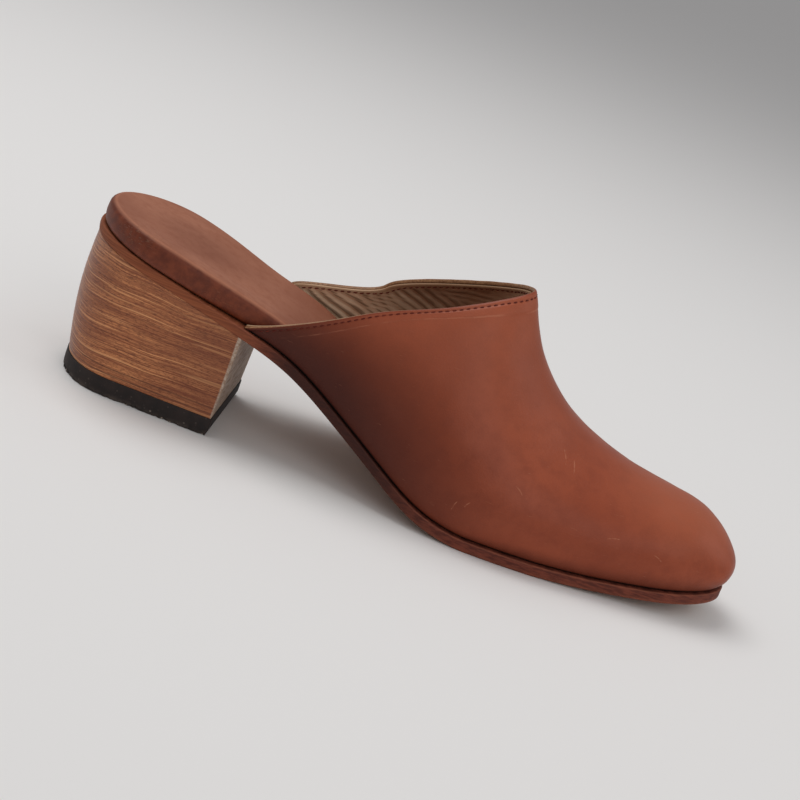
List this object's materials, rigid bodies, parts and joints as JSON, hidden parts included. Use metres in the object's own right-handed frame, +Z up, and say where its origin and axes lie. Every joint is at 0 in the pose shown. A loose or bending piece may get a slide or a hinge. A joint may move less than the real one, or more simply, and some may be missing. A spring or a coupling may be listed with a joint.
{
  "type": "mule shoe",
  "caption": "Left leather mule shoe: one-piece slip-on upper open at the back, leather outsole, padded footbed and a stacked block heel with a black rubber top lift.",
  "frame": {"origin": "middle of the bounding box in plan, on the floor", "axes": "+X points to the toe, +Y to the outer (lateral) side of this left shoe, +Z up from the floor"},
  "size_m": [0.2526, 0.092, 0.086],
  "materials": {
    "upper_leather": "smooth waxy reddish-tan leather, soft satin sheen, light scuffs",
    "insole_leather": "matte light brown lining leather, darker burnished side",
    "sole_leather": "dark red-brown sole leather with a rough trimmed edge",
    "stacked_leather": "stacked leather layers in light and dark brown, polished satin",
    "black_rubber": "matte black rubber with a worn edge"
  },
  "bodies": {
    "root": {"upper": "upper_leather", "insole": "insole_leather", "outsole": "sole_leather", "heel_block": "stacked_leather", "top_lift": "black_rubber"}
  },
  "joints": []
}
